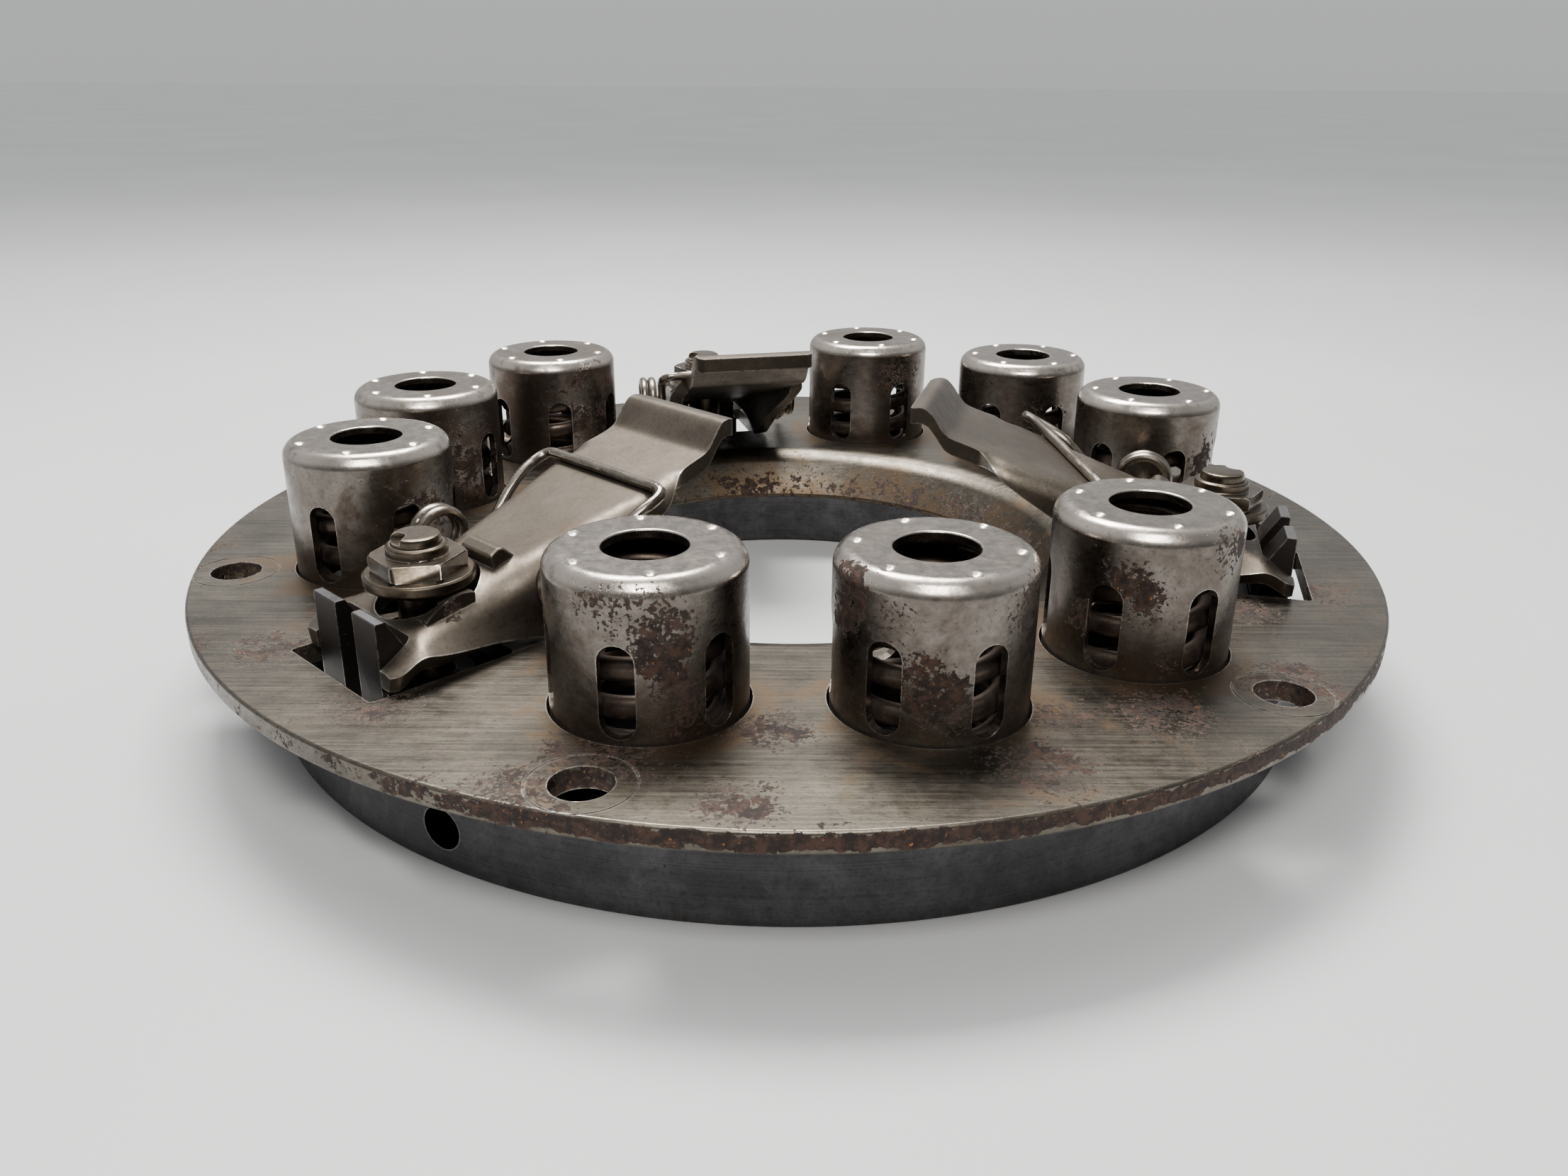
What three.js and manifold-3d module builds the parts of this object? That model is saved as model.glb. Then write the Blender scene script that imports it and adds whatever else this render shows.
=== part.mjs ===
// Coil-spring clutch cover assembly: a pressed cover with nine spring cups, a cast pressure plate
// held up by three release levers, and the studs, nuts, washers and wire springs of the levers.
// Millimetres, +Z up. Z = 0 is the friction face of the pressure plate, and the Z axis is the clutch axis.
// Places round the axis are angles from -Y, counterclockwise seen from above.
import * as THREE from "three";
import { mergeVertices } from "three/addons/utils/BufferGeometryUtils.js";
import Module from "manifold-3d";

const wasm = await Module();
wasm.setup();

// ---- driving dimensions -------------------------------------------------------------------------

const GAP = 0.3; // between pieces that rest on each other

// Cover
const COVER_RADIUS = 114;
const COVER_TOP = 24.2;
const COVER_SHEET = 3.5;
const COVER_BOTTOM = COVER_TOP - COVER_SHEET;
const RIM_CHAMFER = 0.5;
const LIP_BEND_RADIUS = 55.5; // where the flat top turns down into the lip
const LIP_RADIUS = 49; // open edge of the lip
const LIP_DROP = 10;
const BOLT_CIRCLE = 106.3;
const BOLT_HOLE_RADIUS = 4.5;
const WINDOW = { inner: 75, outer: 100.6, halfWidth: 13 };

// Layout: three groups of three cups, with a lever in each gap
const GROUP_ANGLES = [0, 120, 240];
const CUP_OFFSETS = [-30, 0, 30];
const LEVER_ANGLES = [-60, 60, 180];
const CUP_CIRCLE = 80.5;

// Spring cups
const CUP_RADIUS = 14.9;
const CUP_WALL = 1.5;
const CUP_TOP = COVER_TOP + 24.4;
const CUP_SHOULDER = 3;
const CUP_HOLE_RADIUS = 6.35;
const CUP_SEAT = COVER_BOTTOM - GAP; // top of the cup's foot ring, under the cover
const CUP_FOOT_RADIUS = 17.6;
const CUP_FOOT = 1.2;
const CUP_CLEARANCE = 0.5;
const SLOT = { width: 5.4, low: 0.7, high: 15, count: 6 }; // heights above the cover
// Turn of the first slot of each cup from the outward direction, in the order of the cups
const SLOT_TURNS = [3, 12, -21, 25, 8, -14, 30, -6, -5];

// Pressure plate
const PLATE_RADIUS = 101;
const PLATE_BORE = 58;
const PLATE_THICKNESS = 16;
const PLATE_EDGE = 1;
const LUG = { outer: 96.9, foot: 92, halfWidth: 9.7, groove: 2.65, grooveDepth: 3.6, height: 10.3 };
const BALANCE_HOLE = { radius: 3.5, angle: -45.6, z: 6.9, depth: 9 };
const SPIGOT_RADIUS = 7.6;
const SPIGOT_HEIGHT = 4;

// Coil springs and the rings under them
const SEAT = { inner: 8.4, outer: 12.9, thickness: 1.5 };
const SPRING_RADIUS = 10.9; // of the wire's centre line
const SPRING_WIRE = 3.5;
const SPRING_PITCH = 6;
const SPRING_BOTTOM = PLATE_THICKNESS + 2 * GAP + SEAT.thickness;
const SPRING_TOP = CUP_TOP - CUP_WALL - GAP;

// Release levers. Profile heights are above the cover's top face, and distances are from the axis.
const LEVER_SHEET = 2.8;
const LEVER_SLOPE = -0.31;
const FOOT = { u: 70, z: 3.3, radius: 3 }; // rounded foot of the side walls: the lever rocks on it
const STUD_U = 83.5;
const LEVER_HOLE_RADIUS = 9.6;
const NOTCH = { start: 91.6, halfWidth: 10.3 };

// Stud, nut and washer, heights above the cover's top face
const STUD_RADIUS = 4;
const STUD_TOP = 19.1;
const STUD_FOOT = -17.2;
const STUD_BOSS = { radius: 7, top: -4.6 };
const WASHER = { radius: 8.85, bottom: 10.9, top: 13.1, dome: 6, domeBottom: 9.6, hole: 4.4 };
const NUT = { flats: 13.4, bottom: 13.4, top: 15.9, collar: 4.9, collarTop: 17.6, hole: 4.3 };

// Wire spring of each lever
const WIRE_RADIUS = 0.9;
const WIRE_BAR_U = 46.5;
const WIRE_HALF_WIDTH = 17.6;
const WIRE_COIL = { u: 69, z: 10.8, radius: 4.4, pitch: 2.1, turns: 2.5 };
const WIRE_TAIL = { u: 80, z: 1.3 };

// ---- helpers ------------------------------------------------------------------------------------

const rad = THREE.MathUtils.degToRad;

/** A solid made of a closed geometry, with its faces turned outwards. */
function solid(geometry) {
  const bare = geometry.clone();
  bare.deleteAttribute("normal");
  bare.deleteAttribute("uv");
  const merged = mergeVertices(bare, 1e-3);
  const mesh = { numProp: 3, vertProperties: new Float32Array(merged.attributes.position.array) };
  const triVerts = new Uint32Array(merged.index.array);
  const made = new wasm.Manifold(new wasm.Mesh({ ...mesh, triVerts }));
  if (made.volume() > 0) return made;
  for (let i = 0; i < triVerts.length; i += 3) {
    [triVerts[i], triVerts[i + 1]] = [triVerts[i + 1], triVerts[i]];
  }
  return new wasm.Manifold(new wasm.Mesh({ ...mesh, triVerts }));
}

/** The geometry of a solid, ready for a mesh. */
function geometryOf(body) {
  const mesh = body.getMesh();
  const geometry = new THREE.BufferGeometry();
  const position = new Float32Array(mesh.numVert * 3);
  for (let i = 0; i < mesh.numVert; i += 1) {
    for (let k = 0; k < 3; k += 1) {
      position[3 * i + k] = mesh.vertProperties[mesh.numProp * i + k];
    }
  }
  geometry.setAttribute("position", new THREE.BufferAttribute(position, 3));
  geometry.setIndex(new THREE.BufferAttribute(new Uint32Array(mesh.triVerts), 1));
  geometry.computeVertexNormals();
  return geometry;
}

/** A body turned about Z from a closed outline of [radius, height] points. */
function turned(outline, segments) {
  const points = [...outline, outline[0]].map(([r, z]) => new THREE.Vector2(r, z));
  return solid(new THREE.LatheGeometry(points, segments).rotateX(Math.PI / 2));
}

function cylinder(radius, bottom, top, segments) {
  const geometry = new THREE.CylinderGeometry(radius, radius, top - bottom, segments);
  return solid(geometry.rotateX(Math.PI / 2).translate(0, 0, (top + bottom) / 2));
}

function shapeOf(points) {
  return new THREE.Shape(points.map(([x, y]) => new THREE.Vector2(x, y)));
}

/** An upright prism over an outline of [x, y] points. */
function upright(points, bottom, top) {
  const options = { depth: top - bottom, bevelEnabled: false };
  return solid(new THREE.ExtrudeGeometry(shapeOf(points), options).translate(0, 0, bottom));
}

/** A prism across Y over an outline of [x, z] points. */
function across(points, from, to) {
  const options = { depth: to - from, bevelEnabled: false };
  return solid(new THREE.ExtrudeGeometry(shapeOf(points), options).rotateX(Math.PI / 2).translate(0, to, 0));
}

function block(x0, x1, y0, y1, z0, z1) {
  return upright([[x0, y0], [x1, y0], [x1, y1], [x0, y1]], z0, z1);
}

/** A round wire along a curve. */
function wire(curve, radius, steps, sides) {
  const section = new THREE.Shape();
  for (let i = 0; i < sides; i += 1) {
    const a = (2 * Math.PI * i) / sides;
    section[i ? "lineTo" : "moveTo"](radius * Math.cos(a), radius * Math.sin(a));
  }
  return solid(new THREE.ExtrudeGeometry(section, { steps, bevelEnabled: false, extrudePath: curve }));
}

function union(bodies) {
  return bodies.reduce((sum, body) => sum.add(body));
}

/** Where a radius and an angle from -Y lie. */
function place(radius, angle) {
  return [radius * Math.sin(rad(angle)), -radius * Math.cos(rad(angle))];
}

/** A solid drawn with +X outward, set at an angle round the axis. */
function atAngle(body, angle) {
  return body.rotate([0, 0, angle - 90]);
}

const clutch = new THREE.Group();

function add(name, geometry, look, { x = 0, y = 0, z = 0, turn = 0 } = {}) {
  const mesh = new THREE.Mesh(geometry, new THREE.MeshStandardMaterial(look));
  mesh.name = name;
  mesh.position.set(x, y, z);
  mesh.rotation.z = rad(turn);
  clutch.add(mesh);
}

const LOOKS = {
  cover: { color: 0x8a8177, roughness: 0.42, metalness: 1 },
  cup: { color: 0xa39e97, roughness: 0.34, metalness: 1 },
  plate: { color: 0x3a3a3b, roughness: 0.6, metalness: 0.8 },
  lever: { color: 0x7d756b, roughness: 0.4, metalness: 1 },
  spring: { color: 0x4a3d36, roughness: 0.5, metalness: 0.9 },
  seat: { color: 0x5b5148, roughness: 0.8, metalness: 0 },
  fastener: { color: 0x5a544d, roughness: 0.42, metalness: 1 },
  wire: { color: 0xa09a92, roughness: 0.28, metalness: 1 },
};

const cupPlaces = GROUP_ANGLES.flatMap((group) => CUP_OFFSETS.map((offset) => group + offset));

// ---- cover --------------------------------------------------------------------------------------

function coverBody() {
  const lipBottom = COVER_TOP - LIP_DROP;
  const disc = turned(
    [
      [COVER_RADIUS - RIM_CHAMFER, COVER_BOTTOM],
      [COVER_RADIUS, COVER_BOTTOM + RIM_CHAMFER],
      [COVER_RADIUS, COVER_TOP - RIM_CHAMFER],
      [COVER_RADIUS - RIM_CHAMFER, COVER_TOP],
      [LIP_BEND_RADIUS, COVER_TOP],
      [LIP_BEND_RADIUS - 3, COVER_TOP - 1.4],
      [LIP_RADIUS, lipBottom],
      [LIP_RADIUS + COVER_SHEET, lipBottom],
      [LIP_BEND_RADIUS + 0.6, COVER_BOTTOM],
    ],
    60,
  );
  const cuts = [];
  for (const angle of cupPlaces) {
    const hole = cylinder(CUP_RADIUS + CUP_CLEARANCE, COVER_BOTTOM - 2, COVER_TOP + 2, 24);
    cuts.push(hole.translate([...place(CUP_CIRCLE, angle), 0]));
  }
  for (const group of GROUP_ANGLES) {
    for (const offset of [-30, 30]) {
      const hole = cylinder(BOLT_HOLE_RADIUS, COVER_BOTTOM - 2, COVER_TOP + 2, 16);
      cuts.push(hole.translate([...place(BOLT_CIRCLE, group + offset), 0]));
    }
  }
  for (const angle of LEVER_ANGLES) {
    const { inner, outer, halfWidth } = WINDOW;
    const window = block(inner, outer, -halfWidth, halfWidth, COVER_BOTTOM - 2, COVER_TOP + 2);
    cuts.push(atAngle(window, angle));
  }
  return disc.subtract(union(cuts));
}

add("cover", geometryOf(coverBody()), LOOKS.cover);

// ---- spring cups --------------------------------------------------------------------------------

function cupBody() {
  const inner = CUP_RADIUS - CUP_WALL;
  const cup = turned(
    [
      [CUP_HOLE_RADIUS, CUP_TOP - CUP_WALL],
      [CUP_HOLE_RADIUS, CUP_TOP],
      [CUP_RADIUS - CUP_SHOULDER, CUP_TOP],
      [CUP_RADIUS - 0.3 * CUP_SHOULDER, CUP_TOP - 0.3 * CUP_SHOULDER],
      [CUP_RADIUS, CUP_TOP - CUP_SHOULDER],
      [CUP_RADIUS, CUP_SEAT],
      [CUP_FOOT_RADIUS, CUP_SEAT],
      [CUP_FOOT_RADIUS, CUP_SEAT - CUP_FOOT],
      [inner, CUP_SEAT - CUP_FOOT],
      [inner, CUP_TOP - CUP_SHOULDER],
      [inner - CUP_WALL, CUP_TOP - CUP_WALL],
    ],
    20,
  );
  const radius = SLOT.width / 2;
  const low = COVER_TOP + SLOT.low + radius;
  const high = COVER_TOP + SLOT.high - radius;
  const outline = [];
  for (let i = 0; i <= 3; i += 1) {
    const a = (Math.PI * i) / 3;
    outline.push([radius * Math.cos(a), high + radius * Math.sin(a)]);
  }
  for (let i = 0; i <= 3; i += 1) {
    const a = Math.PI + (Math.PI * i) / 3;
    outline.push([radius * Math.cos(a), low + radius * Math.sin(a)]);
  }
  const slots = [];
  for (let i = 0; i < SLOT.count; i += 1) {
    const slot = across(outline, inner - 2, CUP_RADIUS + 2);
    slots.push(slot.rotate([0, 0, -90 + (360 / SLOT.count) * i]));
  }
  return cup.subtract(union(slots));
}

const cupGeometry = geometryOf(cupBody());
cupPlaces.forEach((angle, i) => {
  const [x, y] = place(CUP_CIRCLE, angle);
  add(`spring_cup_${i + 1}`, cupGeometry, LOOKS.cup, { x, y, turn: angle - 90 + SLOT_TURNS[i] });
});

// ---- pressure plate -----------------------------------------------------------------------------

function lugBody() {
  const { outer, foot, halfWidth, groove, grooveDepth, height } = LUG;
  const section = [
    [foot - 0.6, PLATE_THICKNESS - 2],
    [outer, PLATE_THICKNESS - 2],
    [outer, COVER_TOP + height],
    [outer - 1.7, COVER_TOP + height],
    [foot, COVER_TOP + 4.9],
  ];
  const whole = across(section, -halfWidth, halfWidth);
  const slot = block(foot - 2, outer + 1, -groove, groove, COVER_TOP + height - 14, COVER_TOP + height + 1);
  const channel = block(
    outer - grooveDepth, outer + 1, -groove, groove, PLATE_THICKNESS, COVER_TOP + height + 1,
  );
  return whole.subtract(slot).subtract(channel);
}

function plateBody() {
  const ring = turned(
    [
      [PLATE_BORE, 0],
      [PLATE_RADIUS - PLATE_EDGE, 0],
      [PLATE_RADIUS, PLATE_EDGE],
      [PLATE_RADIUS, PLATE_THICKNESS - PLATE_EDGE],
      [PLATE_RADIUS - PLATE_EDGE, PLATE_THICKNESS],
      [PLATE_BORE, PLATE_THICKNESS],
    ],
    60,
  );
  const raised = [];
  const drilled = [];
  const bossTop = COVER_TOP + STUD_BOSS.top;
  for (const angle of LEVER_ANGLES) {
    const boss = cylinder(STUD_BOSS.radius, PLATE_THICKNESS - 2, bossTop, 16).translate([STUD_U, 0, 0]);
    const web = block(STUD_U, LUG.foot + 2, -STUD_BOSS.radius, STUD_BOSS.radius, PLATE_THICKNESS - 2, bossTop);
    raised.push(atAngle(boss.add(web).add(lugBody()), angle));
    const bore = cylinder(STUD_RADIUS + GAP, COVER_TOP + STUD_FOOT - GAP, bossTop + 2, 16);
    drilled.push(atAngle(bore.translate([STUD_U, 0, 0]), angle));
  }
  for (const angle of cupPlaces) {
    const spigot = cylinder(SPIGOT_RADIUS, PLATE_THICKNESS - 2, PLATE_THICKNESS + SPIGOT_HEIGHT, 12);
    raised.push(spigot.translate([...place(CUP_CIRCLE, angle), 0]));
  }
  const { radius, angle, z, depth } = BALANCE_HOLE;
  const drill = cylinder(radius, -depth, depth, 12).rotate([0, 90, 0]).translate([PLATE_RADIUS, 0, z]);
  drilled.push(atAngle(drill, angle));
  return union([ring, ...raised]).subtract(union(drilled));
}

add("pressure_plate", geometryOf(plateBody()), LOOKS.plate);

// ---- coil springs and their seats ---------------------------------------------------------------

/** A compression spring: one closed turn at each end, and evenly pitched turns between. */
class CoilCurve extends THREE.Curve {
  constructor(radius, bottom, top, pitch, closedPitch) {
    super();
    this.radius = radius;
    this.bottom = bottom;
    this.closedPitch = closedPitch;
    this.pitch = pitch;
    this.freeTurns = (top - bottom - 2 * closedPitch) / pitch;
    this.turns = this.freeTurns + 2;
  }

  getPoint(t, target = new THREE.Vector3()) {
    const n = t * this.turns;
    const free = Math.min(Math.max(n - 1, 0), this.freeTurns);
    const z = this.bottom + (n - free) * this.closedPitch + free * this.pitch;
    const a = 2 * Math.PI * n;
    return target.set(this.radius * Math.cos(a), this.radius * Math.sin(a), z);
  }
}

function springBody() {
  const half = SPRING_WIRE / 2;
  const curve = new CoilCurve(
    SPRING_RADIUS, SPRING_BOTTOM + half, SPRING_TOP - half, SPRING_PITCH, SPRING_WIRE + 0.15,
  );
  return wire(curve, half, Math.round(curve.turns * 8), 6);
}

function seatBody() {
  const bottom = PLATE_THICKNESS + GAP;
  return cylinder(SEAT.outer, bottom, bottom + SEAT.thickness, 16)
    .subtract(cylinder(SEAT.inner, bottom - 1, bottom + SEAT.thickness + 1, 16));
}

const springGeometry = geometryOf(springBody());
const seatGeometry = geometryOf(seatBody());
cupPlaces.forEach((angle, i) => {
  const [x, y] = place(CUP_CIRCLE, angle);
  add(`coil_spring_${i + 1}`, springGeometry, LOOKS.spring, { x, y, turn: angle });
  add(`spring_seat_${i + 1}`, seatGeometry, LOOKS.seat, { x, y });
});

// ---- release levers -----------------------------------------------------------------------------

/** Height of the lever's flat back at distance u from the axis. */
function leverBack(u) {
  return 24.8 + LEVER_SLOPE * (u - 33.4);
}

/** Half widths of the lever at distances from the axis, from its tip to its two ears. */
const LEVER_WIDTHS = [
  [26.3, 13], [31, 13], [34.5, 12.6], [38.5, 12.6], [41.5, 13.6], [44, 15.6],
  [48, 15.6], [58, 13.9], [68, 13.3], [78, 13.9], [90, 14.6], [97.6, 14.4],
];

function leverPlan(inset) {
  const right = LEVER_WIDTHS.map(([u, half]) => [u, half - inset]);
  const left = [...right].reverse().map(([u, half]) => [u, -half]);
  return [...left, ...right];
}

function leverBody() {
  const under = (u) => leverBack(u) - LEVER_SHEET * 1.05;
  const top = [
    [26.3, 29.6], [27, 30], [30, 29.5], [32, 27.5], [34, 25.1], [36, leverBack(36)],
    [90.5, leverBack(90.5)], [94, 4.9], [96.6, 2.6], [97.6, 1.2],
  ];
  const underTip = [[26.3, 28.8], [28.6, 27.6], [31.4, 24.3], [34.8, under(34.8)], [42.4, under(42.4)]];
  const walls = [
    [42.8, 17.6], [48, 14.2], [53, 10.4], [FOOT.u - 2.1, FOOT.z - 2.14], [FOOT.u, FOOT.z - FOOT.radius],
    [FOOT.u + 2.1, FOOT.z - 2.14], [79, 2.2], [86, 2.6], [92, 1.6], [97.2, 0.5],
  ];
  const outside = across([...walls.reverse(), ...underTip.reverse(), ...top], -16, 16);
  const hollow = [[41, under(41)], [41, -4], [99, -4], [99, -1], [97, 0.5], [93, 3], [89.5, under(89.5)]];
  const inside = across(hollow, -16, 16).intersect(upright(leverPlan(LEVER_SHEET), -6, 34));
  const shell = outside.intersect(upright(leverPlan(0), -6, 34)).subtract(inside);
  const hole = cylinder(LEVER_HOLE_RADIUS, -6, 34, 20).translate([STUD_U, 0, 0]);
  const notch = block(NOTCH.start, 99, -NOTCH.halfWidth, NOTCH.halfWidth, -6, 34);
  let lever = shell.subtract(hole).subtract(notch);
  const noseTop = WASHER.bottom - GAP;
  for (const side of [-1, 1]) {
    const from = Math.min(side * 6.6, side * 10.6);
    const nose = block(STUD_U - 1.6, STUD_U + 1.6, from, from + 4, leverBack(STUD_U) - LEVER_SHEET, noseTop);
    const sideTab = across(
      [[79.5, leverBack(79.5) - 1], [88, leverBack(88) - 1], [86.4, leverBack(86.4) + 1], [81, leverBack(81) + 1.8]],
      Math.min(side * 10, side * 11.2), Math.max(side * 10, side * 11.2),
    );
    const frontTab = across(
      [[70.4, leverBack(70.4) - 1], [73.8, leverBack(73.8) - 1], [73.8, leverBack(73.8) + 1.8],
        [72.6, leverBack(72.6) + 2]],
      Math.min(side * 2.6, side * 6.4), Math.max(side * 2.6, side * 6.4),
    );
    lever = lever.add(nose).add(sideTab).add(frontTab);
  }
  return lever;
}

// ---- stud, nut and washer -----------------------------------------------------------------------

function studBody() {
  const chamfer = 0.6;
  return turned(
    [
      [0, STUD_FOOT], [STUD_RADIUS, STUD_FOOT], [STUD_RADIUS, STUD_TOP - chamfer],
      [STUD_RADIUS - chamfer, STUD_TOP], [0, STUD_TOP],
    ],
    16,
  );
}

function washerBody() {
  const { radius, bottom, top, dome, domeBottom, hole } = WASHER;
  return turned(
    [
      [hole, domeBottom], [dome - 0.5, domeBottom], [dome, bottom],
      [radius - 0.65, bottom], [radius, bottom + 0.5], [radius, top], [hole, top],
    ],
    20,
  );
}

function nutBody() {
  const { flats, bottom, top, collar, collarTop, hole } = NUT;
  const hex = cylinder(flats / Math.sqrt(3), bottom, top, 6);
  const neck = cylinder(collar, top - 1, collarTop, 16);
  return hex.add(neck).subtract(cylinder(hole, bottom - 1, collarTop + 1, 16));
}

// ---- wire spring of a lever ---------------------------------------------------------------------

function wireSpringBody() {
  const { u, z, radius, pitch, turns } = WIRE_COIL;
  const barZ = leverBack(WIRE_BAR_U) + WIRE_RADIUS + GAP + 0.1;
  const inner = WIRE_HALF_WIDTH;
  const start = rad(233); // where the leg meets the coil, seen along the tangent
  const sweep = 2 * Math.PI * turns;
  const half = [];
  half.push([WIRE_BAR_U, inner - 4.5, barZ], [WIRE_BAR_U + 0.4, inner - 1.2, barZ]);
  half.push([WIRE_BAR_U + 1.8, inner, barZ - 1.2], [56, inner, 15]);
  const count = Math.round(turns * 9);
  for (let i = 0; i <= count; i += 1) {
    const share = i / count;
    const a = start + sweep * share;
    half.push([u + radius * Math.cos(a), inner + pitch * turns * share, z + radius * Math.sin(a)]);
  }
  const end = half[half.length - 1];
  half.push([(end[0] + WIRE_TAIL.u) / 2 + 1, end[1], 4], [WIRE_TAIL.u, end[1], WIRE_TAIL.z]);
  const mirrored = [...half].reverse().map(([x, y, h]) => [x, -y, h]);
  const points = [...mirrored, ...half].map(([x, y, h]) => new THREE.Vector3(x, y, h));
  return wire(new THREE.CatmullRomCurve3(points, false, "centripetal"), WIRE_RADIUS, 84, 4);
}

const leverGeometry = geometryOf(leverBody());
const studGeometry = geometryOf(studBody());
const washerGeometry = geometryOf(washerBody());
const nutGeometry = geometryOf(nutBody());
const wireGeometry = geometryOf(wireSpringBody());
const NUT_TURNS = [26, 8, 15];

LEVER_ANGLES.forEach((angle, i) => {
  const n = i + 1;
  const turn = angle - 90;
  const [x, y] = place(STUD_U, angle);
  add(`release_lever_${n}`, leverGeometry, LOOKS.lever, { z: COVER_TOP, turn });
  add(`lever_stud_${n}`, studGeometry, LOOKS.fastener, { x, y, z: COVER_TOP });
  add(`lever_washer_${n}`, washerGeometry, LOOKS.fastener, { x, y, z: COVER_TOP });
  add(`lever_nut_${n}`, nutGeometry, LOOKS.fastener, { x, y, z: COVER_TOP, turn: turn + NUT_TURNS[i] });
  add(`lever_wire_spring_${n}`, wireGeometry, LOOKS.wire, { z: COVER_TOP, turn });
});

export default clutch;
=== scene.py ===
import math

import bmesh
import bpy
import numpy as np
from mathutils import Matrix, Vector


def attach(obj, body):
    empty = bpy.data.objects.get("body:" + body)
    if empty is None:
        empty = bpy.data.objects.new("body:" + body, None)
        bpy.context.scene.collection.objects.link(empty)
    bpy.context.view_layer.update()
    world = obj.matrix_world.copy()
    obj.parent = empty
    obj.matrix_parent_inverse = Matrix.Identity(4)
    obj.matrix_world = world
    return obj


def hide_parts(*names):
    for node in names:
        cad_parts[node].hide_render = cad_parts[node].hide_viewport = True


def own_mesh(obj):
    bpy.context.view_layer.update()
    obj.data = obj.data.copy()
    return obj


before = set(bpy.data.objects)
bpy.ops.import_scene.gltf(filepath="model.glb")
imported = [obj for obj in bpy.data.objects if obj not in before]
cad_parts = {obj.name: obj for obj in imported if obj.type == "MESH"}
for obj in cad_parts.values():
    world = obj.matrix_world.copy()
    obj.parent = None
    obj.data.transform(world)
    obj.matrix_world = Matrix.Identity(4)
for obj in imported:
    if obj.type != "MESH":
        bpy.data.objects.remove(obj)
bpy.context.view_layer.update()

MM = 0.001

# The layout: heights above the friction face, and radii of the circles that the pieces stand on.
COVER_TOP = 24.2
COVER_BOTTOM = 20.7
COVER_RADIUS = 114.0
CUP_TOP = 48.6
CUP_CIRCLE = 80.5
BOLT_CIRCLE = 106.3
LEVER_ANGLES = (-60, 60, 180)
CUP_ANGLES = [g + o for g in (0, 120, 240) for o in (-30, 0, 30)]
BOLT_ANGLES = [g + o for g in (0, 120, 240) for o in (-30, 30)]

# How far each cup's slots and top dimples are turned, in degrees.
SLOT_TURNS = (3, 12, -21, 25, 8, -14, 30, -6, -5)
DIMPLE_TURNS = (24, 4, 18, 40, 11, 27, 35, 2, 16)

# Radii of the cover's holes, and the heights that their cutters run between.
CUP_HOLE = 15.35
BOLT_HOLE = 4.5
CUT_LOW = 18
CUT_HIGH = 26

# Along a lever, u is the distance from the axis of the part.
LEVER_START = 26.4
LEVER_END = 97.8
STUD_U = 83.5
SHEET = 3.0

# Radii, apart from the nut's width across its flats and the pitch of the wire's coils.
STUD_RADIUS = 3.95
NUT_FLATS = 13.4
WIRE_RADIUS = 0.95
WIRE_COIL = 4.7
WIRE_PITCH = 2.05

# Faces over this many square millimetres are shaded flat.
LARGE_FACE = 3.0


# ---- mesh helpers ---------------------------------------------------------------------------------

def place(radius, angle):
    """Where a radius and an angle from -Y lie."""
    a = math.radians(angle)
    return radius * math.sin(a), -radius * math.cos(a)


def at_angle(angle, z=0.0):
    """Turns a shape drawn with +X outward to an angle round the axis, and lifts it."""
    return Matrix.Translation((0, 0, z)) @ Matrix.Rotation(math.radians(angle - 90), 4, "Z")


def rounded(points, radii, steps=4):
    """A closed outline whose corners are arcs of the given radii."""
    out = []
    for i, r in enumerate(radii):
        before = Vector(points[i - 1])
        corner = Vector(points[i])
        after = Vector(points[(i + 1) % len(points)])
        if r <= 0:
            out.append(tuple(corner))
            continue
        d1 = (before - corner).normalized()
        d2 = (after - corner).normalized()
        half = d1.angle(d2) / 2
        cut = min(r / math.tan(half), 0.49 * (before - corner).length, 0.49 * (after - corner).length)
        centre = corner + (d1 + d2).normalized() * (cut / math.cos(half))
        start = corner + d1 * cut - centre
        end = corner + d2 * cut - centre
        for k in range(steps + 1):
            t = k / steps
            out.append(tuple(centre + (start.lerp(end, t)).normalized() * start.length))
    return out


def make(name, verts, faces):
    """A mesh object in millimetres, its doubles merged and its faces turned out."""
    mesh = bpy.data.meshes.new(name)
    mesh.from_pydata([tuple(v) for v in verts], [], faces)
    bm = bmesh.new()
    bm.from_mesh(mesh)
    bmesh.ops.remove_doubles(bm, verts=bm.verts, dist=1e-4)
    bmesh.ops.recalc_face_normals(bm, faces=bm.faces)
    bm.to_mesh(mesh)
    bm.free()
    obj = bpy.data.objects.new(name, mesh)
    bpy.context.scene.collection.objects.link(obj)
    return obj


def moved(obj, matrix):
    obj.data.transform(matrix)
    return obj


def lathe(name, outline, segments):
    """A body turned about Z from a closed outline of (radius, height) points."""
    m = len(outline)
    verts = []
    faces = []
    for k in range(segments):
        a = 2 * math.pi * k / segments
        verts += [(r * math.cos(a), r * math.sin(a), z) for r, z in outline]
        n = (k + 1) % segments
        faces += [(k * m + j, k * m + (j + 1) % m, n * m + (j + 1) % m, n * m + j) for j in range(m)]
    return make(name, verts, faces)


def prism(name, outline, low, high):
    """An upright prism over an outline of (x, y) points."""
    n = len(outline)
    verts = [(x, y, low) for x, y in outline] + [(x, y, high) for x, y in outline]
    faces = [tuple(range(n)), tuple(range(n, 2 * n))]
    faces += [(i, (i + 1) % n, n + (i + 1) % n, n + i) for i in range(n)]
    return make(name, verts, faces)


def across(name, outline, low, high):
    """A prism along Y over an outline of (x, z) points."""
    upright = prism(name, [(x, -z) for x, z in outline], low, high)
    return moved(upright, Matrix.Rotation(math.radians(-90), 4, "X"))


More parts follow.
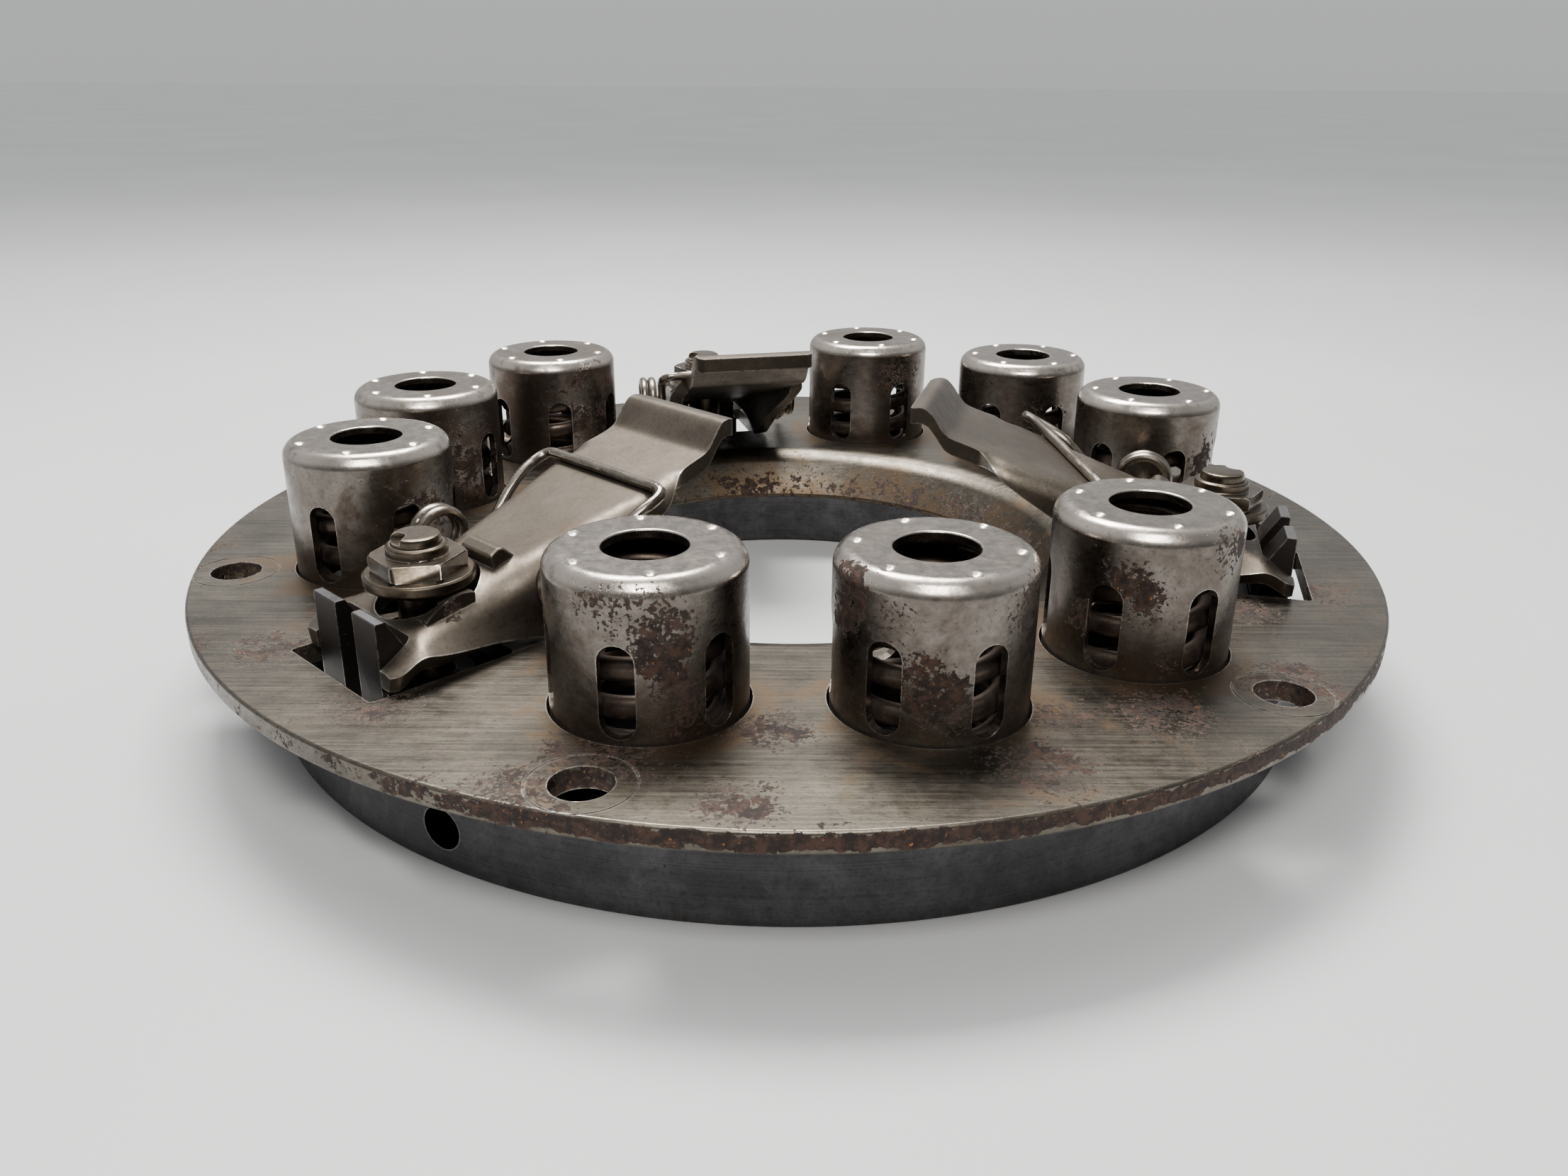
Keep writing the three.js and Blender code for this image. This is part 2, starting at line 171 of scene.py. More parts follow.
def circle(radius, count, cx=0.0, cy=0.0):
    angles = [2 * math.pi * k / count for k in range(count)]
    return [(cx + radius * math.cos(a), cy + radius * math.sin(a)) for a in angles]


def box(name, x0, x1, y0, y1, z0, z1):
    return prism(name, [(x0, y0), (x1, y0), (x1, y1), (x0, y1)], z0, z1)


def capsule(width, low, high):
    """The outline of a slot with round ends, standing up."""
    steps = 10
    r = width / 2
    angles = [math.pi * i / steps for i in range(steps + 1)]
    top = [(r * math.cos(a), high - r + r * math.sin(a)) for a in angles]
    return top + [(-x, low + high - z) for x, z in top]


def tube(name, points, radius, sides):
    """A round wire along a line of points, with rounded ends."""
    cap = 3
    p = np.array(points, float)
    tangent = np.gradient(p, axis=0)
    tangent /= np.linalg.norm(tangent, axis=1)[:, None]
    up = np.array((0.0, 0.0, 1.0)) if abs(tangent[0][2]) < 0.9 else np.array((1.0, 0.0, 0.0))
    rings = []
    for q, t in zip(p, tangent):
        up = up - t * (up @ t)
        up /= np.linalg.norm(up)
        rings.append((q, t, up, 1.0))
    ends = [math.pi / 2 * k / cap for k in range(1, cap + 1)]
    q, t, u, _ = rings[0]
    first = [(q - t * radius * math.sin(a) * 0.6, t, u, math.cos(a)) for a in reversed(ends)]
    q, t, u, _ = rings[-1]
    last = [(q + t * radius * math.sin(a) * 0.6, t, u, math.cos(a)) for a in ends]
    rings = first + rings + last
    verts = []
    faces = []
    for i, (q, t, u, share) in enumerate(rings):
        side = np.cross(t, u)
        for k in range(sides):
            a = 2 * math.pi * k / sides
            verts.append(q + max(share, 0.02) * radius * (math.cos(a) * u + math.sin(a) * side))
        if i:
            low = (i - 1) * sides
            for k in range(sides):
                n = (k + 1) % sides
                faces.append((low + k, low + n, low + sides + n, low + sides + k))
    faces += [tuple(range(sides)), tuple(range(len(verts) - sides, len(verts)))]
    return make(name, verts, faces)


def spline(points, per_span):
    """A smooth line through the points."""
    p = [Vector(q) for q in points]
    p = [2 * p[0] - p[1]] + p + [2 * p[-1] - p[-2]]
    out = []
    for i in range(1, len(p) - 2):
        a, b, c, d = p[i - 1:i + 3]
        for k in range(per_span):
            t = k / per_span
            bend = (2 * a - 5 * b + 4 * c - d) * t * t
            twist = (3 * b - a - 3 * c + d) * t ** 3
            out.append(0.5 * (2 * b + (c - a) * t + bend + twist))
    return [tuple(q) for q in out + [p[-2]]]


def profile(points, blur):
    """A smooth function through (position, value) points, its corners rounded over the blur length."""
    xs, ys = zip(*points)
    grid = np.arange(xs[0] - 4 * blur, xs[-1] + 4 * blur, blur / 4)
    slope0 = (ys[1] - ys[0]) / (xs[1] - xs[0])
    slope1 = (ys[-1] - ys[-2]) / (xs[-1] - xs[-2])
    raw = np.interp(grid, xs, ys)
    raw = np.where(grid < xs[0], ys[0] + (grid - xs[0]) * slope0, raw)
    raw = np.where(grid > xs[-1], ys[-1] + (grid - xs[-1]) * slope1, raw)
    kernel = np.exp(-0.5 * (np.arange(-12, 13) / 4.0) ** 2)
    smooth = np.convolve(raw, kernel / kernel.sum(), mode="same")
    return lambda x: float(np.interp(x, grid, smooth))


def bake(obj):
    """Applies the object's modifiers."""
    bpy.context.view_layer.update()
    graph = bpy.context.evaluated_depsgraph_get()
    mesh = bpy.data.meshes.new_from_object(obj.evaluated_get(graph))
    obj.modifiers.clear()
    obj.data = mesh
    return obj


def join(name, objects):
    """One object of several whose meshes do not touch."""
    bm = bmesh.new()
    for o in objects:
        bm.from_mesh(o.data)
        bpy.data.objects.remove(o)
    mesh = bpy.data.meshes.new(name)
    bm.to_mesh(mesh)
    bm.free()
    obj = bpy.data.objects.new(name, mesh)
    bpy.context.scene.collection.objects.link(obj)
    return obj


def boolean(obj, other, operation="DIFFERENCE"):
    m = obj.modifiers.new("boolean", "BOOLEAN")
    m.operation = operation
    m.object = other
    m.solver = "EXACT"
    bake(obj)
    bpy.data.objects.remove(other)
    return obj


def clean(obj, reach):
    """Merges points closer than the reach, and drops faces without area."""
    bm = bmesh.new()
    bm.from_mesh(obj.data)
    bmesh.ops.remove_doubles(bm, verts=bm.verts, dist=reach)
    bmesh.ops.dissolve_degenerate(bm, edges=bm.edges, dist=reach)
    bm.to_mesh(obj.data)
    bm.free()
    return obj


def soften(obj, width, segments=2, angle=38):
    """Rounds the sharp edges."""
    m = obj.modifiers.new("bevel", "BEVEL")
    m.width = width
    m.segments = segments
    m.limit_method = "ANGLE"
    m.angle_limit = math.radians(angle)
    m.use_clamp_overlap = True
    m.miter_outer = "MITER_ARC"
    return bake(obj)


def shade(obj, angle=30):
    """Smooth shading, with level faces and other large faces kept flat."""
    mesh = obj.data
    mesh.polygons.foreach_set("use_smooth", [True] * len(mesh.polygons))
    mesh.set_sharp_from_angle(angle=math.radians(angle))
    bm = bmesh.new()
    bm.from_mesh(mesh)
    for e in bm.edges:
        level = [abs(f.normal.z) > 0.99999 for f in e.link_faces]
        if len(level) == 2 and level[0] != level[1] and e.calc_face_angle(0) > 0.035:
            e.smooth = False
    bm.to_mesh(mesh)
    bm.free()
    m = obj.modifiers.new("normals", "WEIGHTED_NORMAL")
    m.keep_sharp = True
    m.weight = 80
    mesh = bake(obj).data
    normals = [c.vector.copy() for c in mesh.corner_normals]
    tilted = math.cos(math.radians(3))
    for face in mesh.polygons:
        for corner in face.loop_indices:
            if face.area > LARGE_FACE and normals[corner].dot(face.normal) < tilted:
                normals[corner] = face.normal.copy()
    mesh.normals_split_custom_set(normals)
    return obj


def fit(obj, body, slot, material, *nodes):
    """Takes a finished mesh into metres, gives it its material, binds it to its body and hides the CAD nodes
    it stands for.
    """
    obj.data.transform(Matrix.Scale(MM, 4))
    obj.data.materials.clear()
    obj.data.materials.append(material)
    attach(obj, body)
    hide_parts(*nodes)
    return obj


# ---- material helpers -----------------------------------------------------------------------------

class Look:
    """Builds one node material. Its coordinates are the part's, in millimetres."""

    def __init__(self, name):
        self.material = bpy.data.materials.new(name)
        self.material.use_nodes = True
        self.tree = self.material.node_tree
        self.tree.nodes.clear()
        coordinates = self.node("ShaderNodeTexCoord")
        scaled = self.node("ShaderNodeVectorMath", operation="SCALE")
        self.tree.links.new(coordinates.outputs["Object"], scaled.inputs[0])
        scaled.inputs["Scale"].default_value = 1 / MM
        self.p = scaled.outputs[0]

    def node(self, kind, **settings):
        n = self.tree.nodes.new(kind)
        for key, value in settings.items():
            setattr(n, key, value)
        return n

    def put(self, socket, value):
        if isinstance(value, bpy.types.NodeSocket):
            self.tree.links.new(value, socket)
        elif isinstance(value, tuple) and len(value) == 3 and len(socket.default_value) == 4:
            socket.default_value = (*value, 1)
        else:
            socket.default_value = value

    def math(self, operation, a, b=0.0, clamp=False):
        n = self.node("ShaderNodeMath", operation=operation, use_clamp=clamp)
        self.put(n.inputs[0], a)
        self.put(n.inputs[1], b)
        return n.outputs[0]

    def times(self, a, b):
        return self.math("MULTIPLY", a, b)

    def plus(self, a, b):
        return self.math("ADD", a, b)

    def inverse(self, value):
        return self.math("SUBTRACT", 1.0, value)

    def vector(self, operation, a, b=(0.0, 0.0, 0.0)):
        n = self.node("ShaderNodeVectorMath", operation=operation)
        self.put(n.inputs[0], a)
        self.put(n.inputs[1], b)
        return n.outputs["Value" if operation in ("LENGTH", "DISTANCE", "DOT_PRODUCT") else "Vector"]

    def stretched(self, scale, turn=0.0):
        """Coordinates turned about Z and scaled along each axis."""
        n = self.node("ShaderNodeMapping", vector_type="POINT")
        turned = self.node("ShaderNodeVectorRotate", rotation_type="Z_AXIS")
        self.put(turned.inputs["Vector"], self.p)
        turned.inputs["Angle"].default_value = math.radians(-turn)
        self.put(n.inputs["Vector"], turned.outputs[0])
        n.inputs["Scale"].default_value = scale
        return n.outputs[0]

    def noise(self, scale, detail=4.0, rough=0.55, vector=None, distortion=0.0):
        n = self.node("ShaderNodeTexNoise")
        self.put(n.inputs["Vector"], vector if vector is not None else self.p)
        n.inputs["Scale"].default_value = scale
        n.inputs["Detail"].default_value = detail
        n.inputs["Roughness"].default_value = rough
        n.inputs["Distortion"].default_value = distortion
        return n.outputs[0]

    def step(self, value, low, high):
        """0 below low, 1 above high."""
        n = self.node("ShaderNodeMapRange", interpolation_type="SMOOTHSTEP")
        self.put(n.inputs["Value"], value)
        n.inputs["From Min"].default_value = low
        n.inputs["From Max"].default_value = high
        return n.outputs[0]

    def mix(self, share, a, b, kind="RGBA"):
        n = self.node("ShaderNodeMix", data_type=kind)
        first = {"RGBA": 6, "FLOAT": 2}[kind]
        self.put(n.inputs[0], share)
        self.put(n.inputs[first], a)
        self.put(n.inputs[first + 1], b)
        return n.outputs[{"RGBA": 2, "FLOAT": 0}[kind]]

    def highest(self, *values):
        top = values[0]
        for v in values[1:]:
            top = self.math("MAXIMUM", top, v)
        return top

    def near(self, centres, inner, outer, flat=True):
        """1 within inner of a centre, 0 beyond outer. Flat measures in plan only."""
        best = None
        for c in centres:
            here = self.p
            if flat:
                here = self.vector("MULTIPLY", self.p, (1.0, 1.0, 0.0))
            d = self.vector("DISTANCE", here, tuple(c) if not flat else (c[0], c[1], 0.0))
            best = d if best is None else self.math("MINIMUM", best, d)
        return self.inverse(self.step(best, inner, outer))

    def radius(self):
        return self.vector("LENGTH", self.vector("MULTIPLY", self.p, (1.0, 1.0, 0.0)))

    def height(self):
        n = self.node("ShaderNodeSeparateXYZ")
        self.put(n.inputs[0], self.p)
        return n.outputs["Z"]

    def upward(self):
        n = self.node("ShaderNodeSeparateXYZ")
        self.put(n.inputs[0], self.node("ShaderNodeNewGeometry").outputs["Normal"])
        return n.outputs["Z"]

    def worn_edge(self, radius):
        """1 on edges that rub bright."""
        soft = self.node("ShaderNodeBevel", samples=4)
        soft.inputs["Radius"].default_value = radius * MM
        hard = self.node("ShaderNodeNewGeometry").outputs["Normal"]
        dot = self.vector("DOT_PRODUCT", soft.outputs[0], hard)
        return self.step(self.inverse(dot), 0.02, 0.16)

    def occluded(self, reach):
        """1 in corners and gaps, where ambient occlusion finds shade; used to paint shade there."""
        n = self.node("ShaderNodeAmbientOcclusion", samples=6)
        n.inputs["Distance"].default_value = reach * MM
        return self.inverse(n.outputs["AO"])

    def bump(self, height, strength, distance):
        n = self.node("ShaderNodeBump")
        n.inputs["Strength"].default_value = strength
        n.inputs["Distance"].default_value = distance * MM
        self.put(n.inputs["Height"], height)
        return n.outputs[0]

    def finish(self, color, roughness, metallic, normal, specular=0.5):
        shader = self.node("ShaderNodeBsdfPrincipled")
        out = self.node("ShaderNodeOutputMaterial")
        self.put(shader.inputs["Base Color"], color)
        self.put(shader.inputs["Roughness"], roughness)
        self.put(shader.inputs["Metallic"], metallic)
        self.put(shader.inputs["Normal"], normal)
        self.put(shader.inputs["Specular IOR Level"], specular)
        self.tree.links.new(shader.outputs[0], out.inputs[0])
        return self.material


def worn_steel(name, light, dark, roughness, *, film, crust, freckles, edge, grain=None, grain_turn=0.0,
               film_color=(0.09, 0.055, 0.034), edge_radius=0.35, corner_shade_amount=1.0,
               film_and_shade_where=(), crust_where=(), freckle_where=(), sheen_where=()):
    """Old bare steel: tone drift, drawn grain, brown film, flaking rust, freckles of rust, bright rubbed
    edges, painted highlights where asked and painted shade in corners. The ..._where are functions of the
    look that give masks; the film's masks can also lay painted shade."""
    k = Look(name)

    def mask(functions):
        return k.highest(*[f(k) for f in functions]) if functions else 0.0

    # Bare metal.
    drift = k.noise(0.05, 6, 0.6)
    mottle = k.noise(0.33, 8, 0.65)
    fine = k.noise(1.7, 5, 0.65)
    shading = k.step(k.plus(k.times(drift, 0.6), k.times(mottle, 0.4)), 0.40, 0.62)
    tone = k.mix(shading, dark, light)
    tone = k.mix(k.times(k.step(fine, 0.46, 0.70), 0.40), tone, tuple(0.45 * c for c in dark))
    rough = k.mix(k.step(mottle, 0.3, 0.7), roughness + 0.07, roughness - 0.05, "FLOAT")
    relief = k.plus(k.times(fine, 0.22), k.times(mottle, 0.5))
    if grain:
        lines = k.noise(1.0, 4, 0.7, k.stretched(grain, grain_turn))
        tone = k.mix(k.times(k.step(lines, 0.42, 0.72), 0.26), tone, tuple(1.4 * c for c in light))
        furrows = k.times(k.inverse(k.step(lines, 0.30, 0.48)), 0.25)
        tone = k.mix(furrows, tone, tuple(0.6 * c for c in dark))
        rough = k.plus(rough, k.times(k.math("SUBTRACT", lines, 0.5), 0.25))
        relief = k.plus(relief, k.times(lines, 0.30))
    # Painted highlight: lighter, smoother metal where these masks say, kept free of film.
    sheen = mask(sheen_where)
    if sheen_where:
        sheen = k.times(sheen, k.step(mottle, 0.25, 0.5))
        tone = k.mix(sheen, tone, tuple(min(2.4 * c, 0.55) for c in light))
        rough = k.math("SUBTRACT", rough, k.times(sheen, 0.06))

    # Brown film; the film masks also lay painted shade, as on the sides of the plate's lugs.
    film_and_shade = k.plus(k.times(k.noise(0.085, 8, 0.62, distortion=0.5), 0.7), k.times(mottle, 0.3))
    film_and_shade = k.plus(film_and_shade, k.times(mask(film_and_shade_where), 0.17))
    film_and_shade = k.step(film_and_shade, 0.60 - 0.16 * film, 0.74 - 0.16 * film)
    film_and_shade = k.times(film_and_shade, 0.85)
    film_and_shade = k.times(film_and_shade, k.inverse(sheen))
    color = k.mix(film_and_shade, tone, film_color)
    rough = k.mix(film_and_shade, rough, roughness + 0.14, "FLOAT")

    # Flaking rust in patches, and rust in spots.
    patch = k.plus(k.times(k.noise(0.17, 8, 0.6), 0.5), k.times(k.noise(0.85, 7, 0.68), 0.5))
    where = mask(crust_where)
    patch = k.plus(patch, k.times(where, 0.20))
    patch = k.step(patch, 0.685 - 0.12 * crust, 0.70 - 0.12 * crust)
    halo = k.plus(k.times(where, 0.14), k.times(mask(freckle_where), 0.18))
    spots = k.plus(k.noise(1.5, 3, 0.55), k.times(k.noise(0.2, 4, 0.6), 0.40))
    spots = k.plus(spots, halo)
    spots = k.step(spots, 0.955 - 0.10 * freckles, 0.985 - 0.10 * freckles)
    rusty = k.highest(patch, k.times(spots, 0.92))
    tint = k.noise(0.6, 6, 0.7)
    rust_tone = k.mix(k.step(tint, 0.42, 0.62), (0.019, 0.013, 0.011), (0.056, 0.031, 0.022))
    fresh = k.times(k.step(k.noise(1.1, 5, 0.65), 0.62, 0.72), patch)
    rust_tone = k.mix(fresh, rust_tone, (0.30, 0.125, 0.04))
    color = k.mix(rusty, color, rust_tone)
    rough = k.mix(rusty, rough, 0.68, "FLOAT")
    metallic = k.mix(rusty, 1.0, 0.15, "FLOAT")
    specular = k.mix(rusty, 0.5, 0.25, "FLOAT")
    flakes = k.noise(1.3, 7, 0.75)
    relief = k.plus(relief, k.times(patch, k.plus(k.times(flakes, 2.2), 0.2)))
    relief = k.math("SUBTRACT", relief, k.times(spots, 0.5))

    # Rubbed edges.
    bright = k.times(k.worn_edge(edge_radius), edge)
    bright = k.times(bright, k.step(k.noise(0.8, 5, 0.7), 0.34, 0.56))
    color = k.mix(bright, color, (0.56, 0.52, 0.46))
    rough = k.mix(bright, rough, 0.26, "FLOAT")
    metallic = k.mix(bright, metallic, 1.0, "FLOAT")

    # Painted shade: darker in corners and gaps, where ambient occlusion finds them.
    corner_shade = k.math("MULTIPLY", k.step(k.occluded(5.0), 0.30, 0.95), corner_shade_amount, clamp=True)
    color = k.mix(corner_shade, color, (0.024, 0.016, 0.012))
    rough = k.mix(corner_shade, rough, 0.75, "FLOAT")
    metallic = k.mix(corner_shade, metallic, 0.4, "FLOAT")
    return k.finish(color, rough, metallic, k.bump(relief, 0.55, 0.11), specular)


# ---- cover ----------------------------------------------------------------------------------------

def build_cover(material):
    outline = rounded(
        [
            (COVER_RADIUS, COVER_BOTTOM), (COVER_RADIUS, COVER_TOP), (56.5, COVER_TOP),
            (49.0, COVER_TOP - 10), (52.4, COVER_TOP - 10), (57.5, COVER_BOTTOM),
        ],
        (0.5, 0.55, 6.5, 0.7, 0.7, 3.2), 8,
    )
    cover = lathe("cover_sheet", outline, 240)
    cutters = []
    rings = []
    for a in CUP_ANGLES:
        x, y = place(CUP_CIRCLE, a)
        cutters.append(prism("c", circle(CUP_HOLE, 96, x, y), CUT_LOW, CUT_HIGH))
    for a in BOLT_ANGLES:
        x, y = place(BOLT_CIRCLE, a)
        cutters.append(prism("c", circle(BOLT_HOLE, 48, x, y), CUT_LOW, CUT_HIGH))
        ring = [(7.4, COVER_TOP - 0.1), (7.7, COVER_TOP - 0.1), (7.8, CUT_HIGH), (7.3, CUT_HIGH)]
        ring = rounded(ring, (0, 0, 0, 0))
        rings.append(moved(lathe("c", ring, 72), Matrix.Translation((x, y, 0))))
    for a in LEVER_ANGLES:
        window = rounded([(75, -13), (100.6, -13), (100.6, 13), (75, 13)], (1.6, 0.8, 0.8, 1.6), 5)
        cutters.append(moved(prism("c", window, CUT_LOW, CUT_HIGH), at_angle(a)))
    boolean(cover, join("cutters", cutters))
    soften(cover, 0.28, 2, 50)
    boolean(cover, join("rings", rings))
    shade(cover, 17)
    return fit(cover, "cover", "cover_steel", material, "cover")


# ---- spring cups ----------------------------------------------------------------------------------

def build_cup(i, material):
    outline = rounded(
        [
            (6.35, CUP_TOP - 1.5), (6.35, CUP_TOP), (14.9, CUP_TOP), (14.9, 20.4), (17.6, 20.4), (17.6, 19.2),
            (13.4, 19.2), (13.4, CUP_TOP - 1.5),
        ],
        (0.25, 0.35, 2.7, 0, 0.3, 0.3, 1.2, 1.4), 8,
    )
    cup = lathe(f"spring_cup_shell_{i + 1}", outline, 120)
    cutters = []
    slot = capsule(5.4, COVER_TOP + 0.7, COVER_TOP + 15.0)
    quarter = Matrix.Rotation(math.pi / 2, 4, "Z")
    for k in range(6):
        turn = Matrix.Rotation(math.radians(SLOT_TURNS[i] + 60 * k), 4, "Z") @ quarter
        cutters.append(moved(across("c", slot, -17, -11), turn))
        a = math.radians(DIMPLE_TURNS[i] + 60 * k)
        dent = bmesh.new()
        bmesh.ops.create_icosphere(dent, subdivisions=3, radius=1.75)
        mesh = bpy.data.meshes.new("c")
        dent.to_mesh(mesh)
        dent.free()
        ball = bpy.data.objects.new("c", mesh)
        spot = (11.7 * math.cos(a), 11.7 * math.sin(a), CUP_TOP + 1.22)
        cutters.append(moved(ball, Matrix.Translation(spot)))
    boolean(cup, join("cutters", cutters))
    soften(clean(cup, 0.02), 0.16, 2)
    shade(clean(cup, 0.004), 17)
    x, y = place(CUP_CIRCLE, CUP_ANGLES[i])
    moved(cup, Matrix.Translation((x, y, 0)) @ Matrix.Rotation(math.radians(CUP_ANGLES[i] - 90), 4, "Z"))
    return fit(cup, "cover", "cup_steel", material, f"spring_cup_{i + 1}")


# ---- coil springs and seats -----------------------------------------------------------------------

def build_spring(i, material):
    low = 18.1
    high = 46.8
    wire = 1.75
    mean = 10.9
    closed = 3.55
    pitch = 6.0
    free = (high - low - 2 * wire - 2 * closed) / pitch
    turns = free + 2
    points = []
    for k in range(int(turns * 40) + 1):
        n = k / 40
        run = min(max(n - 1, 0), free)
        a = 2 * math.pi * n
        points.append((mean * math.cos(a), mean * math.sin(a), low + wire + (n - run) * closed + run * pitch))
    spring = tube(f"spring_coil_{i + 1}", points, wire, 14)
    x, y = place(CUP_CIRCLE, CUP_ANGLES[i])
    turn = Matrix.Rotation(math.radians(CUP_ANGLES[i] + 47 * i), 4, "Z")
    moved(spring, Matrix.Translation((x, y, 0)) @ turn)
    shade(spring)
    fit(spring, "cover", "spring_steel", material, f"coil_spring_{i + 1}")
    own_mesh(spring)
    return spring


def build_seat(i, material):
    outline = rounded([(8.4, 16.1), (12.9, 16.1), (12.9, 17.6), (10.9, 18.0), (8.4, 18.0)], (0.3,) * 5, 3)
    seat = lathe(f"seat_ring_{i + 1}", outline, 72)
    x, y = place(CUP_CIRCLE, CUP_ANGLES[i])
    moved(seat, Matrix.Translation((x, y, 0)))
    shade(seat)
    return fit(seat, "plate", "seat_fibre", material, f"spring_seat_{i + 1}")


# ---- pressure plate -------------------------------------------------------------------------------

def build_plate(material):
    outline = rounded(
        [
            (58, 0), (101, 0), (101, 14.6), (99.6, 16), (97.2, 16), (96.6, 15.2), (66, 15.2), (64.5, 16.0),
            (58, 16),
        ],
        (0.8, 0.5, 0.4, 0.4, 0.3, 0.4, 0.6, 0.6, 1.0), 4,
    )
    plate = lathe("plate_casting", outline, 240)
    lug_top = COVER_TOP + 10.3
    groove = 2.65
    raised = []
    drilled = []
    for a in LEVER_ANGLES:
        turn = at_angle(a)
        boss = rounded([(76.5, -7), (94, -7), (94, 7), (76.5, 7)], (6.8, 1.5, 1.5, 6.8), 10)
        boss = moved(prism("r", boss, 13, 19.6), turn)
        side = rounded(
            [(90.5, 13), (96.9, 13), (96.9, lug_top), (95.2, lug_top), (92.0, COVER_TOP + 4.9)],
            (0, 0, 0.35, 0.35, 1.5), 4,
        )
        lug = moved(across("r", side, -9.7, 9.7), turn)
        boolean(lug, moved(box("g", 90, 98, -groove, groove, COVER_TOP - 3.7, COVER_TOP + 12), turn))
        foot = moved(box("r", 92.6, 96.5, -10.8, 10.8, 13, COVER_TOP - 0.9), turn)
        boolean(lug, foot, "UNION")
        boolean(lug, moved(box("g", 93.3, 98, -groove, groove, 16.4, COVER_TOP + 5), turn))
        raised.append(boolean(boss, lug, "UNION"))
        drilled.append(moved(prism("d", circle(4.15, 40, STUD_U), 6.8, 26), turn))
    spigot = rounded([(0, 13), (7.6, 13), (7.6, 19.6), (5.5, 20.1), (0, 20.1)], (0, 0, 0.6, 0.6, 0), 3)
    for a in CUP_ANGLES:
        x, y = place(CUP_CIRCLE, a)
        raised.append(moved(lathe("r", spigot, 40), Matrix.Translation((x, y, 0))))
    hole = moved(prism("d", circle(3.5, 40), -9, 9), Matrix.Rotation(math.pi / 2, 4, "Y"))
    drilled.append(moved(hole, at_angle(-45.6, 6.9) @ Matrix.Translation((101, 0, 0))))
    boolean(plate, join("raised", raised), "UNION")
    boolean(plate, join("drilled", drilled))
    soften(plate, 0.22, 2)
    shade(plate, 17)
    return fit(plate, "plate", "plate_iron", material, "pressure_plate")


# ---- release levers -------------------------------------------------------------------------------

# The lever along its length u: the height of its back above the cover, its half width, the height of its side
# walls, how far they are bent down in degrees, and the radius of that bend.
LEVER_TOP = profile(
    [
        (LEVER_START, 29.7), (28.2, 30.15), (29.7, 29.9), (31.0, 28.5), (32.2, 26.7), (33.3, 25.2),
        (34.8, 24.5), (91.5, 6.8), (93.3, 5.5), (95.0, 4.3), (96.5, 3.4), (LEVER_END, 2.8),
    ],
    0.5,
)
LEVER_PLAN = profile(
    [
        (LEVER_START, 12.6), (28.0, 13.0), (32.0, 13.2), (34.5, 13.0), (38.0, 13.0), (40.5, 13.6),
        (43.0, 15.2), (45.0, 15.8), (48.0, 15.6), (54.0, 14.6), (60.0, 13.6), (67.0, 13.0), (74.0, 13.3),
        (82.0, 14.0), (90.0, 14.7), (95.5, 14.8), (96.8, 14.2), (LEVER_END, 12.0),
    ],
    0.7,
)
LEVER_WALL = profile(
    [
        (LEVER_START, 0.0), (40.3, 0.0), (42.4, 1.8), (43.5, 3.0), (48.0, 4.8), (53.0, 6.6), (60.0, 9.2),
        (67.2, 12.6), (69.2, 13.0), (72.5, 11.0), (76.0, 9.2), (79.0, 7.7), (82.0, 6.4), (85.7, 4.8),
        (88.0, 3.7), (90.0, 2.6), (91.8, 1.5), (93.3, 0.7), (LEVER_END, 0.3),
    ],
    0.7,
)
LEVER_BEND = profile(
    [
        (LEVER_START, 75.0), (44.0, 78.0), (60.0, 84.0), (70.0, 84.0), (77.0, 66.0), (82.0, 55.0),
        (90.0, 34.0), (LEVER_END, 20.0),
    ],
    1.5,
)
LEVER_ROLL = profile([(LEVER_START, 3.8), (66.0, 4.3), (76.0, 6.6), (LEVER_END, 6.6)], 1.5)

